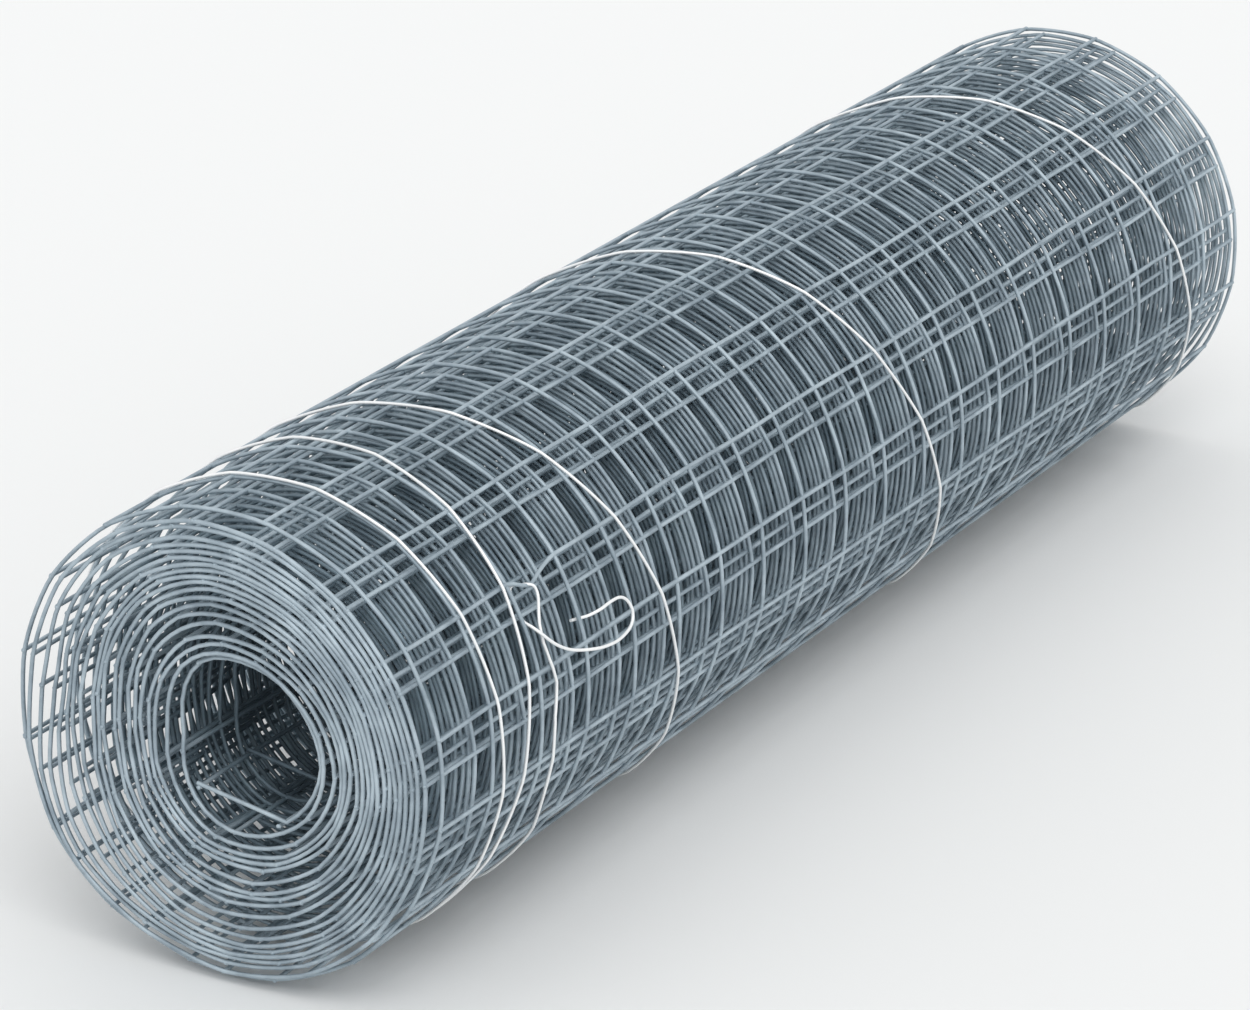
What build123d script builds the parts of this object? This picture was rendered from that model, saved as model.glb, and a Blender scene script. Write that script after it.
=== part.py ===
from build123d import *
import math
import os

os.makedirs("parts", exist_ok=True)

# Sizes of the rolled mesh, in millimetres
mesh_pitch = 25.0
wire_diameter = 1.2
meshes_across = 20
turns = 20
turn_spacing = 2.221
bore_radius = 21.5
second_turn_shift = 3.1
bulge_shift = 3.0
core_shift = 2.4
crest_share = 0.5

# Sizes of the tie wires, in millimetres
tie_diameter = 0.9
tie_clearance = 0.1
bends_per_turn = 16
kink_share = 0.3
curl_share = 0.45

# Places of the front loops, in meshes from the near edge: middle, slant, and the angle of the far side
loop_1_shares = (1.157, 0.154, 153)
loop_2_shares = (1.812, 0.410, 350)

# Route of the binding wire's tail and hook: degrees from the top, meshes along, lift in wire thicknesses
tail_shares = [
    (71.6, 2.87, 0.2),
    (72.7, 3.33, 0.9),
    (72.3, 3.80, 1.6),
    (76.4, 4.01, 1.9),
    (81.2, 3.78, 1.9),
    (79.2, 3.05, 2.1),
    (73.6, 2.44, 2.2),
    (66.5, 2.14, 1.2),
    (62.0, 2.12, 0.2),
    (59.4, 2.25, 0.0),
    (61.0, 2.38, 0.4),
    (67.5, 2.36, 1.3),
]

# Route of its turns: degrees wound from the top, and meshes along
wound_shares = [
    (67.5, 2.36),
    (94.0, 2.25),
    (114.0, 2.32),
    (128.0, 2.55),
    (333.0, 3.28),
    (373.0, 3.68),
    (488.0, 5.42),
    (693.0, 9.00),
    (780.0, 10.49),
    (849.0, 12.03),
    (1053.0, 15.92),
    (1144.0, 17.81),
    (1194.0, 18.86),
    (1240.0, 19.80),
]

# Sizes that follow from those
full_turn = 360.0
sheet_width = meshes_across * mesh_pitch
roll_radius = bore_radius + turns * turn_spacing
crest_height = crest_share * wire_diameter
tie_radius = tie_diameter / 2
step_angle = full_turn / bends_per_turn
seat_radius = roll_radius + tie_clearance + tie_radius
corner_radius = seat_radius / math.cos(math.radians(step_angle / 2))
axis_height = seat_radius + tie_radius


def turn_shift(turn):
    """How far a turn lies from the outermost one along the roll. The second turn stands out at the near end,
    the ones inside it bulge a little further, and the core has slipped back."""
    if turn == turns - 1:
        return 0
    inwards = 1 - turn / (turns - 2)
    return core_shift * inwards - second_turn_shift - bulge_shift * math.sin(math.pi * inwards)


turn_shifts = [turn_shift(turn) for turn in range(turns)]
outer_middle = -(min(turn_shifts) + max(turn_shifts)) / 2


def turn_end(turn, side):
    """Where the flanks of one turn's crest end along the roll."""
    return outer_middle + turn_shifts[turn] + side * (sheet_width / 2 + wire_diameter / 2 - crest_height)


def valley_between(turn, side):
    """Where the end dips between a turn and the next one out."""
    return (turn_end(turn, side) + turn_end(turn + 1, side)) / 2


# The rolled mesh: one turned solid, with a rounded crest for each turn on both ends
with BuildPart() as mesh_roll:
    with BuildSketch(Plane.XZ):
        with BuildLine():
            for side in (-1, 1):
                dip = turn_end(0, side)
                for turn in range(turns):
                    inner = bore_radius + turn * turn_spacing
                    outer = inner + turn_spacing
                    end = turn_end(turn, side)
                    next_dip = valley_between(turn, side) if turn < turns - 2 else end
                    crest = end + side * crest_height
                    ThreePointArc((dip, inner), (crest, (inner + outer) / 2), (next_dip, outer))
                    dip = next_dip
                    if turn == turns - 2:
                        dip = turn_end(turns - 1, side)
                        Line((next_dip, outer), (dip, outer))
            Line((turn_end(0, -1), bore_radius), (turn_end(0, 1), bore_radius))
            Line((turn_end(turns - 1, -1), roll_radius), (turn_end(turns - 1, 1), roll_radius))
        make_face()
    revolve(axis=Axis.X)
export_step(Pos(0, 0, axis_height) * mesh_roll.part, "parts/mesh_roll.step")


def wire_point(degrees, meshes, lift, radius):
    """A point of a tie wire's centre line, from its place on the outer turn."""
    reach = radius + lift * tie_diameter
    along = outer_middle - sheet_width / 2 + meshes * mesh_pitch
    turned = math.radians(degrees)
    return Vector(along, -reach * math.sin(turned), axis_height + reach * math.cos(turned))


def bent_wire(corners, shares, closed):
    """A round wire swept along straight runs, with a smooth bend at each corner that takes up a share
    of the shorter run beside it."""
    count = len(corners)
    radii = []
    for place in range(count) if closed else range(1, count - 1):
        before = corners[place] - corners[place - 1]
        after = corners[(place + 1) % count] - corners[place]
        half_turn = math.radians(before.get_angle(after)) / 2
        radii.append(shares[place] * min(before.length, after.length) / math.tan(half_turn))
    with BuildPart() as wire:
        with BuildLine() as route:
            FilletPolyline(*corners, radius=radii, close=closed)
        with BuildSketch(Plane(origin=route.line @ 0, z_dir=route.line % 0)):
            Circle(tie_radius)
        sweep()
    return wire.part


def bend_angle(bend):
    """Angle of one bend of a wound wire. The runs between bends lie at the top, the bottom and the sides."""
    return (bend + 1 / 2) * step_angle


# The front tie: two closed loops of wire, each a little slanted on the roll
def loop_wire(shares):
    middle, slant, far_side = shares
    corners = []
    for bend in range(bends_per_turn):
        meshes = middle + slant * math.cos(math.radians(bend_angle(bend) - far_side))
        corners.append(wire_point(bend_angle(bend), meshes, 0, corner_radius))
    return bent_wire(corners, [kink_share] * bends_per_turn, True)


export_step(loop_wire(loop_1_shares), "parts/front_tie_1.step")
export_step(loop_wire(loop_2_shares), "parts/front_tie_2.step")

# The binding wire: a loose curled tail, a hook on the outer turn, then turns along to the far end
binding_corners = [wire_point(*place, seat_radius) for place in tail_shares]
binding_shares = [curl_share] * len(tail_shares)
bend = math.ceil(wound_shares[0][0] / step_angle)
while bend_angle(bend) <= wound_shares[-1][0]:
    for start, stop in zip(wound_shares, wound_shares[1:]):
        if start[0] <= bend_angle(bend) <= stop[0]:
            part_way = (bend_angle(bend) - start[0]) / (stop[0] - start[0])
            meshes = start[1] + part_way * (stop[1] - start[1])
    binding_corners.append(wire_point(bend_angle(bend), meshes, 0, corner_radius))
    binding_shares.append(kink_share)
    bend += 1
export_step(bent_wire(binding_corners, binding_shares, False), "parts/binding_wire.step")
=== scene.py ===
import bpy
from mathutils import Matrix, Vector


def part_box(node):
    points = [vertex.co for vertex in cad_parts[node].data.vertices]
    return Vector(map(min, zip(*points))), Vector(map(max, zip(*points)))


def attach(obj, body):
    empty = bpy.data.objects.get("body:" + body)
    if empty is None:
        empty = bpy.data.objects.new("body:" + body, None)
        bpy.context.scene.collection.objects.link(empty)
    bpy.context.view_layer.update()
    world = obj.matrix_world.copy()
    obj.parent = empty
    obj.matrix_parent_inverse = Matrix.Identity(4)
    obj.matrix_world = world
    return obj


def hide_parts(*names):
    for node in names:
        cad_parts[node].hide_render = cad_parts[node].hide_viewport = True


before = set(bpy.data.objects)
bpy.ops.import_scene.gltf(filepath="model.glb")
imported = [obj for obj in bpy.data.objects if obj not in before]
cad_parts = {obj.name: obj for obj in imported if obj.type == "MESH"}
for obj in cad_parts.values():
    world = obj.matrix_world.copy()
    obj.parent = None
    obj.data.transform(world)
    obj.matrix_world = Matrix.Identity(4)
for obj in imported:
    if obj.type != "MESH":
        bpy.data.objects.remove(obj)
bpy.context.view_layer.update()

import math

import bpy
import numpy as np

bpy.ops.object.select_all(action="DESELECT")

# Line wires
# The wires that run the length of the sheet: drawn steel, welded to the cross wires, then dipped in zinc.
# The sheet is wound up in about twenty turns, so each one is a long coil, tight in front and looser behind.
mesh_pitch = 0.025
wire_thickness = 0.0012
wire_sides = 6
line_count = 21
last_line = line_count - 1
weld_stand_off = 0.26 * wire_thickness
roll_low, roll_high = [np.array(corner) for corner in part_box("mesh_roll")]
axis_height = (roll_low[2] + roll_high[2]) / 2
outer_line_radius = (roll_high[2] - roll_low[2]) / 2 - weld_stand_off - wire_thickness / 2
first_line = roll_high[0] - wire_thickness / 2 - last_line * mesh_pitch
full_turn = 2 * math.pi
quarter_turn = math.pi / 2
free_edge = math.radians(231.6)
coil_turns = 19.95
edge_stub = 0.0070

# How far each turn lies from the roll's axis, in millimetres: at the back, the top, the front and the bottom
turn_sides = [
    (63.8, 64.2, 64.6, 65.2),
    (58.9, 62.2, 62.8, 63.4),
    (54.8, 60.7, 61.0, 60.6),
    (50.4, 58.1, 59.3, 58.6),
    (47.4, 56.5, 57.8, 57.1),
    (45.9, 55.0, 56.3, 55.5),
    (44.4, 53.4, 54.8, 53.8),
    (41.3, 51.9, 53.3, 51.4),
    (37.7, 50.4, 51.7, 48.8),
    (36.2, 48.8, 50.1, 45.4),
    (34.7, 47.1, 48.6, 42.2),
    (31.2, 45.2, 47.1, 40.2),
    (29.6, 43.1, 45.5, 38.6),
    (27.0, 40.8, 43.2, 35.8),
    (25.4, 38.2, 41.0, 32.0),
    (23.8, 35.3, 39.4, 30.4),
    (22.2, 31.4, 37.8, 28.8),
    (20.6, 28.9, 35.0, 26.6),
    (16.8, 26.6, 31.6, 23.2),
    (12.4, 24.8, 30.0, 20.0),
    (9.4, 23.8, 28.6, 18.5),
]
side_radii = np.array(turn_sides).ravel() / 1000
quarters_to_back = (math.radians(270) - free_edge) / quarter_turn

# The outer turns where they are drawn tight: their radius, their gap, and how far their middle is off the axis
tight_radius = 0.064825
turn_gap = 0.0015
tight_drop = 0.0005
tight_forward = 0.0004

# Places round the roll, as the degrees of the middle and the spread to either side
edge_spring, edge_spring_place = 0.0010, (226, 55)
low_hold, low_hold_place = 0.8, (226, 60)
high_hold, high_hold_place = 0.4, (325, 50)
first_gap, first_gap_place = 0.0016, (42, 66)
set_back, set_back_place = 0.0026, (60, 120)

# Spans over which something sets in or dies away: along the roll, in turns from the outside, or in line wires
loose_end = (-0.22, -0.14)
pressed_end = (0.12, 0.22)
held_near_turns = (2.5, 6.5)
held_turns = (12, 18)
first_gap_turns = (0.67, 1.27)
uneven_turns = (0.8, 1.8)
second_turn_start = (0.70, 1.10)
set_back_turns = (0.6, 0.9)
set_back_lines = (3, 9)
level_lines = (last_line / 2, last_line)

# How far the turns have slipped along the roll, and how level they come at the far end
second_turn_shift = 0.0031
bulge_shift = 0.0030
core_shift = 0.0024
far_level = 0.85
slip_waves = [(0.0002, 2.3, 1.1), (0.0002, 5.9, 0.4)]


def round_bump(angle, place):
    """One at the middle of a place round the roll, and nought at both ends of its spread."""
    middle, spread = [math.radians(degrees) for degrees in place]
    away = np.abs((angle - middle + math.pi) % full_turn - math.pi) / spread
    return np.where(away < 1, 0.5 + 0.5 * np.cos(math.pi * np.minimum(away, 1)), 0.0)


def rise(value, span):
    """Goes smoothly from nought to one across a span."""
    share = np.clip((value - span[0]) / (span[1] - span[0]), 0, 1)
    return share * share * (3 - 2 * share)


def wavy(place, number, waves):
    """The small unevenness of a wire: waves of a size and a rate, which start elsewhere for each number."""
    return sum(size * np.sin(rate * place + number * start) for size, rate, start in waves)


def between(a, b, c, d, share):
    """Part of the way from b to c, on a smooth line that also passes a and d."""
    bend = (2 * a - 5 * b + 4 * c - d) * share ** 2 + (3 * b - a - 3 * c + d) * share ** 3
    return b + 0.5 * ((c - a) * share + bend)


def coil_radius(wound, along=0.0):
    """Radius of a line wire's centre after it has wound inwards by an angle. The outer turns lie tight on each
    other, but for a loose place behind at the near end. In front the second turn lies a bit deeper than the
    table says, except at the far end, where the first one is pressed on to it."""
    quarter = np.asarray(wound) / quarter_turn - quarters_to_back
    place = np.clip(np.floor(quarter).astype(int), 0, len(side_radii) - 3)
    corners = [side_radii[np.maximum(place + step, 0)] for step in (-1, 0, 1, 2)]
    radius = between(*corners, quarter - place)
    turn = wound / full_turn
    angle = free_edge + wound
    tight = tight_radius - turn_gap * turn - tight_drop * np.cos(angle) + tight_forward * np.sin(angle)
    tight = tight + edge_spring * round_bump(angle, edge_spring_place)
    held_near = low_hold * round_bump(angle, low_hold_place) + high_hold * round_bump(angle, high_hold_place)
    held_near = held_near * (1 - rise(turn, held_near_turns))
    held_behind = 1 - rise(turn, held_turns)
    held = held_near + (held_behind - held_near) * rise(along, loose_end)
    radius = radius + np.maximum(tight - radius, 0) * held
    deeper = first_gap * rise(turn, first_gap_turns) * round_bump(angle, first_gap_place)
    return radius - deeper * (1 - rise(along, pressed_end))


def coil_place(wound, radius, along):
    """A point at a radius and a place along the roll, once the sheet has wound by an angle."""
    angle = free_edge + wound
    return np.stack([along + 0 * wound, -radius * np.sin(angle), axis_height + radius * np.cos(angle)], axis=-1)


def line_along(number, wound):
    """Where a line wire lies along the roll. The second turn stands out at the near end, the ones inside it bulge
    a little further, and the core has slipped back. In front the outermost turn is set back a bit more. Towards
    the far end the turns come level."""
    turn = wound / full_turn
    inwards = np.clip((turn - 1.5) / (coil_turns - 2), 0, 1)
    slipped = core_shift * inwards - bulge_shift * np.sin(math.pi * inwards)
    slipped = slipped + wavy(turn, 1, slip_waves) * rise(turn, uneven_turns)
    slipped = slipped - second_turn_shift * rise(turn, second_turn_start)
    skewed = set_back * round_bump(free_edge + wound, set_back_place) * (1 - rise(turn, set_back_turns))
    slipped = slipped + skewed * (1 - rise(number, set_back_lines))
    return first_line + number * mesh_pitch + slipped * (1 - far_level * rise(number, level_lines))


# The length of the sheet, summed up in fine steps from its free edge to its inner end
fine_steps = 24000
fine_wound = np.linspace(0, full_turn * coil_turns, fine_steps + 1)
fine_radius = coil_radius(fine_wound)
step_lengths = 0.5 * (fine_radius[1:] + fine_radius[:-1]) * np.diff(fine_wound)
fine_length = np.concatenate([[0], np.cumsum(step_lengths)])
sheet_length = fine_length[-1]

# Where the cross wires of each turn lie in front, in shares of a mesh past those of the outermost turn
cross_shares = [0.0, 0.36, 0.17, 0.34, 0.01, 0.19, 0.36, 0.0, 0.18, 0.35, 0.02, 0.20]
front_place = math.radians(52)
front_start = math.radians(100)
front_stop = math.radians(80)

# Meshes counted along the sheet, a little stretched or squeezed behind so that they come out like that in front
even_meshes = (fine_length - edge_stub) / mesh_pitch
front_wound = front_place + full_turn - free_edge + full_turn * np.arange(len(cross_shares))
front_meshes = np.interp(front_wound, fine_wound, even_meshes)
nudges = [0.0]
for meshes, share in zip(front_meshes[1:], cross_shares[1:]):
    nudges.append(nudges[-1] + (front_meshes[0] - share - meshes - nudges[-1] + 0.5) % 1 - 0.5)
nudge_places = np.column_stack([front_wound - front_start, front_wound + front_stop]).ravel()
fine_meshes = even_meshes + np.interp(fine_wound, nudge_places, np.repeat(nudges, 2))


def wire_mesh(name, paths, thickness, sides, closed=False):
    """Round wire along each path, made as one bevelled curve and turned into a mesh."""
    curve = bpy.data.curves.new(name, "CURVE")
    curve.dimensions = "3D"
    curve.bevel_depth = thickness / 2
    curve.bevel_resolution = (sides - 4) // 2
    curve.use_fill_caps = not closed
    for path in paths:
        spline = curve.splines.new("POLY")
        spline.points.add(len(path) - 1)
        spline.points.foreach_set("co", np.column_stack([path, np.ones(len(path))]).ravel())
        spline.use_cyclic_u = closed
    piece = bpy.data.objects.new(name, curve)
    bpy.context.collection.objects.link(piece)
    bpy.ops.object.select_all(action="DESELECT")
    piece.select_set(True)
    bpy.context.view_layer.objects.active = piece
    bpy.ops.object.convert(target="MESH")
    piece = bpy.context.view_layer.objects.active
    piece.name = piece.data.name = name
    bpy.ops.object.shade_smooth()
    bpy.ops.object.select_all(action="DESELECT")
    return piece


line_points_per_mesh = 6
line_waves = [(0.00022, 23, 1.7), (0.00015, 61, 2.9)]
straightness = 0.3
weld_share = 0.3
least_bend = 0.05
straight_end = 1.05 * mesh_pitch


def line_path(number):
    """One line wire, a little straighter between its welds than a true coil, and straight at its inner end."""
    length = np.linspace(0, sheet_length, int(sheet_length / mesh_pitch * line_points_per_mesh))
    wound = np.interp(length, fine_length, fine_wound)
    along = line_along(number, wound)
    radius = coil_radius(wound, along)
    part_way = np.interp(wound, fine_wound, fine_meshes) % 1
    flat = straightness * mesh_pitch ** 2 / (8 * np.maximum(radius, least_bend))
    radius = radius - flat * (4 * part_way * (1 - part_way) - weld_share)
    path = coil_place(wound, radius, along + wavy(length, number, line_waves))
    end = length > sheet_length - straight_end
    start = path[np.argmax(end) - 1]
    share = np.linspace(0, 1, end.sum() + 1)[1:, None]
    path[end] = start + (path[-1] - start) * share
    return path


def add_node(material, kind, settings, sources):
    """A node with its settings, fed by the sockets given for its inputs."""
    node = material.node_tree.nodes.new(kind)
    for name, value in settings.items():
        setattr(node, name, value)
    for socket, source in sources.items():
        if hasattr(source, "links"):
            material.node_tree.links.new(source, node.inputs[socket])
        else:
            node.inputs[socket].default_value = source
    return node


def zinc_material(name, dull, bright, rough, metal, grain):
    """Hot-dip zinc: cloudy patches of two greys, with finer speckle in its gloss and a slightly pitted skin."""
    material = bpy.data.materials.new(name)
    material.use_nodes = True
    links = material.node_tree.links
    shader = material.node_tree.nodes["Principled BSDF"]
    place = add_node(material, "ShaderNodeTexCoord", {}, {}).outputs["Object"]
    cloud = add_node(material, "ShaderNodeTexNoise", {},
                     {"Vector": place, "Scale": grain, "Detail": 4.0, "Roughness": 0.6})
    tone = add_node(material, "ShaderNodeValToRGB", {}, {"Fac": cloud.outputs["Fac"]})
    tone.color_ramp.elements[0].position = 0.32
    tone.color_ramp.elements[0].color = (*dull, 1)
    tone.color_ramp.elements[1].position = 0.68
    tone.color_ramp.elements[1].color = (*bright, 1)
    links.new(tone.outputs["Color"], shader.inputs["Base Color"])
    speckle = add_node(material, "ShaderNodeTexNoise", {},
                       {"Vector": place, "Scale": grain * 12, "Detail": 2.0})
    gloss = add_node(material, "ShaderNodeMapRange", {},
                     {"Value": speckle.outputs["Fac"], "To Min": rough - 0.12, "To Max": rough + 0.12})
    links.new(gloss.outputs["Result"], shader.inputs["Roughness"])
    pits = add_node(material, "ShaderNodeBump", {},
                    {"Strength": 0.25, "Distance": 0.0002, "Height": speckle.outputs["Fac"]})
    links.new(pits.outputs["Normal"], shader.inputs["Normal"])
    shader.inputs["Metallic"].default_value = metal
    return material


# Painted shade inside the roll: how deep under the outer turn it is full and where it starts, and how near the
# ends it fades out
full_shade_depth, unshaded_depth = 0.042, 0.002
full_shade_from_end, unshaded_from_end = 0.040, 0.006
half_way_place = 0.70


def paint_inner_shade(material, half_way, tint):
    """Paints shade into the zinc's colour inside the roll. The deeper the turn, the darker it is, step by step
    down to a tint of its colour, standing in for the shade that the outer turns cast. The outer turns and the
    wires at both ends stay as they are."""
    links = material.node_tree.links
    shader = material.node_tree.nodes["Principled BSDF"]
    colour = shader.inputs["Base Color"].links[0].from_socket
    place = add_node(material, "ShaderNodeTexCoord", {}, {}).outputs["Object"]
    parts = add_node(material, "ShaderNodeSeparateXYZ", {}, {"Vector": place})
    height = add_node(material, "ShaderNodeMath", {"operation": "SUBTRACT"},
                      {0: parts.outputs["Z"], 1: axis_height})
    across = add_node(material, "ShaderNodeCombineXYZ", {},
                      {"Y": parts.outputs["Y"], "Z": height.outputs["Value"]})
    radius = add_node(material, "ShaderNodeVectorMath", {"operation": "LENGTH"}, {0: across.outputs["Vector"]})
    outside = add_node(material, "ShaderNodeMapRange", {},
                       {"Value": radius.outputs["Value"], "From Min": outer_line_radius - full_shade_depth,
                        "From Max": outer_line_radius - unshaded_depth})
    along = add_node(material, "ShaderNodeMath", {"operation": "ABSOLUTE"}, {0: parts.outputs["X"]})
    end = add_node(material, "ShaderNodeMapRange", {"interpolation_type": "SMOOTHSTEP"},
                   {"Value": along.outputs["Value"], "From Min": roll_high[0] - full_shade_from_end,
                    "From Max": roll_high[0] - unshaded_from_end})
    shown = add_node(material, "ShaderNodeMath", {"operation": "MAXIMUM"},
                     {0: outside.outputs["Result"], 1: end.outputs["Result"]})
    level = add_node(material, "ShaderNodeValToRGB", {}, {"Fac": shown.outputs["Value"]})
    level.color_ramp.elements[0].color = (*tint, 1)
    level.color_ramp.elements[1].color = (1, 1, 1, 1)
    level.color_ramp.elements.new(half_way_place).color = (*half_way, 1)
    darker = add_node(material, "ShaderNodeVectorMath", {"operation": "MULTIPLY"},
                      {0: colour, 1: level.outputs["Color"]})
    links.new(darker.outputs["Vector"], shader.inputs["Base Color"])


mesh_zinc = zinc_material("mesh_zinc", dull=(0.27, 0.335, 0.385), bright=(0.47, 0.555, 0.61),
                          rough=0.60, metal=0.45, grain=90.0)
# Painted shade: the zinc of the inner turns is darkened towards the axis, away from the ends
paint_inner_shade(mesh_zinc, half_way=(0.54, 0.60, 0.63), tint=(0.18, 0.215, 0.235))
line_paths = [line_path(number) for number in range(line_count)]
near_count = 11
for name, paths in (("line_wires_near", line_paths[:near_count]), ("line_wires_far", line_paths[near_count:])):
    line_wires = wire_mesh(name, paths, wire_thickness, wire_sides)
    line_wires.data.materials.append(mesh_zinc)
    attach(line_wires, "root")
    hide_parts("mesh_roll")

# Cross wires
# Straight wires of the same steel across the sheet, one mesh apart, welded on the outside of the line wires.
# One of them, near the front, is pulled into a vee by the binding wire that hooks round it.
cross_wound = np.interp(np.arange(0, fine_meshes[-1]), fine_meshes, fine_wound)
cross_waves = [(0.0002, 1.9, 2.4), (0.0003, 0.55, 1.0)]
cross_stub = 0.15 * wire_thickness
cross_points_per_mesh = 2
hooked_points_per_mesh = 8
hooked_cross = 8
hooked_cell = (2, 2.34, 3)
hook_pull = 0.0040
hook_sharpness = 1.4
cross_paths = []
for number, wound in enumerate(cross_wound):
    points_per_mesh = hooked_points_per_mesh if number == hooked_cross else cross_points_per_mesh
    steps = np.linspace(0, last_line, last_line * points_per_mesh + 1)
    along = line_along(steps, wound)
    radius = coil_radius(wound, along) + weld_stand_off
    sway = wavy(steps, number, cross_waves)
    if number == hooked_cross:
        start, tip, stop = hooked_cell
        pull = np.minimum((steps - start) / (tip - start), (stop - steps) / (stop - tip))
        sway = sway + hook_pull * np.clip(pull, 0, 1) ** hook_sharpness
    along[0] -= cross_stub
    along[-1] += cross_stub
    cross_paths.append(coil_place(wound + sway / radius, radius, along))
cross_wires = wire_mesh("cross_wires", cross_paths, wire_thickness, wire_sides)
cross_wires.data.materials.append(mesh_zinc)
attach(cross_wires, "root")
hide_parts("mesh_roll")

# Weld beads
# The little lump of zinc that fills each crossing, where a line wire and a cross wire are welded together.
# One bead is shaped, then copied to every crossing in a single mesh.
bead_radius = 0.54 * wire_thickness
bead_stretch = (1.05, 1.05, 1.0)
bpy.ops.mesh.primitive_uv_sphere_add(segments=6, ring_count=4, radius=bead_radius)
weld_beads = bpy.context.view_layer.objects.active
weld_beads.name = weld_beads.data.name = "weld_beads"
bead_points = np.array([vertex.co for vertex in weld_beads.data.vertices]) * bead_stretch
bead_faces = [tuple(face.vertices) for face in weld_beads.data.polygons]
all_points, all_faces = [], []
for wound in cross_wound:
    angle = free_edge + wound
    outward = np.array([0.0, -math.sin(angle), math.cos(angle)])
    sideways = np.array([0.0, -math.cos(angle), -math.sin(angle)])
    for number in range(line_count):
        along = line_along(number, wound)
        centre = coil_place(wound, coil_radius(wound, along) + weld_stand_off / 2, along)
        start = len(all_points) * len(bead_points)
        all_points.append(centre + bead_points[:, :1] * [1.0, 0, 0] + bead_points[:, 1:2] * sideways
                          + bead_points[:, 2:] * outward)
        all_faces.extend(tuple(start + corner for corner in face) for face in bead_faces)
weld_beads.data.clear_geometry()
weld_beads.data.from_pydata(np.concatenate(all_points).tolist(), [], all_faces)
bpy.ops.object.shade_smooth()
bpy.ops.object.select_all(action="DESELECT")
weld_beads.data.materials.append(mesh_zinc)
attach(weld_beads, "root")
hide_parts("mesh_roll")

# Front tie
# Two loops of bright thin wire round the near end, drawn tight, so they bend a little at each cross wire.
# Each is one closed loop; they lean apart on top and come together below.
tie_thickness = 0.0009
tie_sides = 8
tie_sag = 0.4
tie_height = weld_stand_off + wire_thickness / 2 + tie_thickness / 2
outer_cross_angles = free_edge + cross_wound[cross_wound < full_turn]


def tie_radius(turned):
    """Radius of a tie wire's centre: on the cross wires of the outer turn, and nearly straight between them."""
    start = outer_cross_angles[0]
    turned = (np.asarray(turned) - start) % full_turn + start
    knots = np.append(outer_cross_angles, start + full_turn)
    place = np.clip(np.searchsorted(knots, turned, side="right") - 1, 0, len(knots) - 2)
    below, above = knots[place], knots[place + 1]
    part_way = (turned - below) / (above - below)
    low = coil_radius(below - free_edge)
    high = coil_radius((above - free_edge) % full_turn)
    sag = tie_sag * 0.5 * outer_line_radius * ((above - below) / 2) ** 2
    return low + (high - low) * part_way + tie_height - sag * 4 * part_way * (1 - part_way)


def tie_place(turned, meshes, lift=0.0, radius=None):
    """A point of a tie wire's centre, on the cross wires or lifted from a given radius."""
    along = first_line + np.asarray(meshes) * mesh_pitch
    radius = (tie_radius(turned) if radius is None else radius) + lift
    return coil_place(np.asarray(turned) - free_edge, radius, along)


# Each loop's middle in meshes from the near edge, its slant, and the angle where it lies furthest along
front_loops = [
    ("front_tie_1", 1.157, 0.154, 153),
    ("front_tie_2", 1.812, 0.410, 350),
]
loop_points = 192
tie_zinc = zinc_material("tie_zinc", dull=(0.84, 0.86, 0.87), bright=(0.95, 0.96, 0.96),
                         rough=0.36, metal=0.3, grain=60.0)
for name, middle, slant, far_side in front_loops:
    turned = np.linspace(0, full_turn, loop_points, endpoint=False)
    meshes = middle + slant * np.cos(turned - math.radians(far_side))
    front_tie = wire_mesh(name + "_wire", [tie_place(turned, meshes)], tie_thickness, tie_sides, closed=True)
    front_tie.data.materials.append(tie_zinc)
    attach(front_tie, "root")
    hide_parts(name)

# Binding wire
# One long bright wire: its end tucked under the third line wire, a loose curl, a run behind the second line
# wire, a hook round the vee of the cross wire, then just over three turns along the roll to the far edge,
# where its end is bent in.

# The loose end and the hook: degrees from the top, meshes along, and millimetres above the seat of a tie wire
tail_route = [
    (71.8, 2.99, -3.1),
    (72.4, 3.13, -3.2),
    (72.8, 3.27, -1.9),
    (72.4, 3.39, 0.2),
    (71.8, 3.55, 1.5),
    (72.0, 3.70, 2.0),
    (73.6, 3.81, 2.1),
    (76.6, 3.86, 2.1),
    (79.3, 3.77, 2.1),
    (80.5, 3.52, 2.1),
    (80.0, 3.22, 2.1),
    (78.4, 2.90, 2.1),
    (76.0, 2.57, 1.9),
    (73.0, 2.35, 1.3),
    (69.4, 2.22, 0.2),
    (67.2, 2.18, -1.3),
    (65.4, 2.17, -3.0),
    (62.5, 2.17, -3.1),
    (59.4, 2.17, -3.1),
    (57.4, 2.19, -3.0),
    (56.9, 2.27, -2.8),
    (57.7, 2.36, -2.7),
    (58.3, 2.42, -1.6),
    (59.3, 2.45, -0.4),
    (60.8, 2.455, -0.3),
    (62.4, 2.43, -0.4),
    (64.8, 2.37, -0.7),
    (67.5, 2.31, -0.9),
]

# The turns on the roll: degrees wound from the top, and meshes along
wound_route = [
    (67.5, 2.31),
    (72.0, 2.28),
    (77.0, 2.30),
    (82.0, 2.36),
    (88.0, 2.31),
    (94.0, 2.25),
    (114.0, 2.32),
    (128.0, 2.55),
    (333.0, 3.28),
    (373.0, 3.68),
    (488.0, 5.42),
    (693.0, 9.00),
    (780.0, 10.49),
    (849.0, 12.03),
    (1053.0, 15.92),
    (1144.0, 17.81),
    (1194.0, 18.86),
    (1240.0, 19.80),
]

# The far end, bent in over the last line wire, given like the loose end
end_route = [
    (1244.0, 19.91, 0.0),
    (1248.0, 20.04, -0.6),
    (1250.0, 20.09, -2.2),
    (1248.6, 20.02, -3.5),
    (1244.6, 19.90, -3.7),
    (1241.0, 19.80, -3.6),
]
tail_steps, end_steps = 6, 5
tie_seat = (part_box("front_tie_1")[1][2] - axis_height) - tie_thickness / 2


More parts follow.
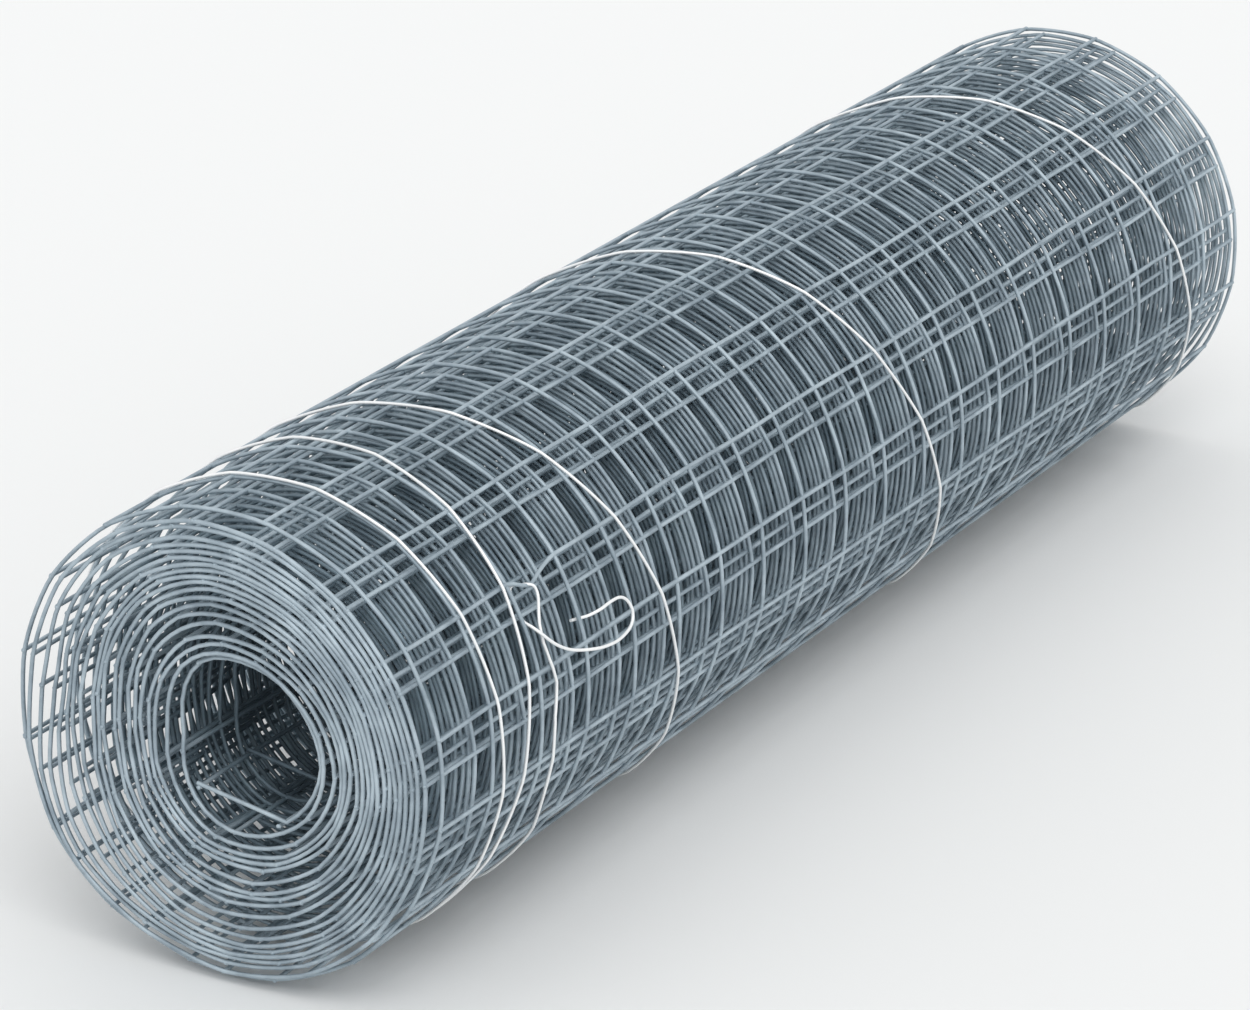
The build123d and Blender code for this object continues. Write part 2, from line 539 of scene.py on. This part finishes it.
def smooth_line(points, steps):
    """A line through the points with no corners."""
    points = np.vstack([2 * points[0] - points[1], points, 2 * points[-1] - points[-2]])
    share = np.linspace(0, 1, steps, endpoint=False)[:, None]
    runs = [between(a, b, c, d, share) for a, b, c, d in zip(points, points[1:], points[2:], points[3:])]
    return np.vstack(runs + [points[-2:-1]])


def route_places(route):
    """The points of a route that is given in degrees, meshes and millimetres."""
    places = [(math.radians(degrees), meshes, lift * 0.001) for degrees, meshes, lift in route]
    return np.array([tie_place(turned, meshes, lift, tie_seat) for turned, meshes, lift in places])


# The turns bend softly, but for the first bit past the hook and the last bit before the far end
wound_degrees = np.arange(70.0, 1241.0, 2.0)
soft_from, soft_to = 90, 1226
soft_reach = 8
wound_meshes = np.interp(wound_degrees, *zip(*wound_route))
weights = np.hanning(2 * soft_reach + 1)
padded = np.pad(wound_meshes, soft_reach, mode="edge")
softened = np.convolve(padded, weights / weights.sum(), "valid")
soft = (wound_degrees > soft_from) & (wound_degrees < soft_to)
wound_meshes = np.where(soft, softened, wound_meshes)
binding_path = np.vstack([
    smooth_line(route_places(tail_route), tail_steps),
    tie_place(np.radians(wound_degrees), wound_meshes),
    smooth_line(route_places(end_route), end_steps),
])
binding_wire = wire_mesh("binding_wire_whole", [binding_path], tie_thickness, tie_sides)
binding_wire.data.materials.append(tie_zinc)
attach(binding_wire, "root")
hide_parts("binding_wire")

# Floor, light and camera
# A pale plain floor under soft light from all round, with a broad weaker lamp above the near end.
# The camera stands where the photo was taken from, with a slightly wider view that holds the whole roll.
bpy.ops.mesh.primitive_plane_add(size=14.0)
floor = bpy.context.view_layer.objects.active
floor.name = "floor"
floor_paint = bpy.data.materials.new("floor_paint")
floor_paint.use_nodes = True
paint_shader = floor_paint.node_tree.nodes["Principled BSDF"]
paint_shader.inputs["Base Color"].default_value = (0.80, 0.81, 0.81, 1)
paint_shader.inputs["Roughness"].default_value = 0.9
floor.data.materials.append(floor_paint)
sky = bpy.data.worlds.new("soft_sky")
sky.use_nodes = True
sky.node_tree.nodes["Background"].inputs["Color"].default_value = (1, 1, 1, 1)
sky.node_tree.nodes["Background"].inputs["Strength"].default_value = 0.90
bpy.context.scene.world = sky
bpy.ops.object.light_add(type="SUN", location=(-1.0, -0.8, 1.5))
lamp = bpy.context.view_layer.objects.active
lamp.data.angle = math.radians(40)
lamp.data.energy = 1.1
lamp.rotation_euler = (math.radians(26), math.radians(-34), 0)
bpy.ops.object.camera_add(location=(-1.3749, -0.7540, 0.6529))
camera = bpy.context.view_layer.objects.active
camera.rotation_euler = (math.radians(90 - 21.03), 0, math.radians(-60.6))
camera.data.sensor_width = 36.0
camera.data.lens = 164.0
bpy.context.scene.camera = camera
bpy.context.scene.view_settings.view_transform = "Standard"
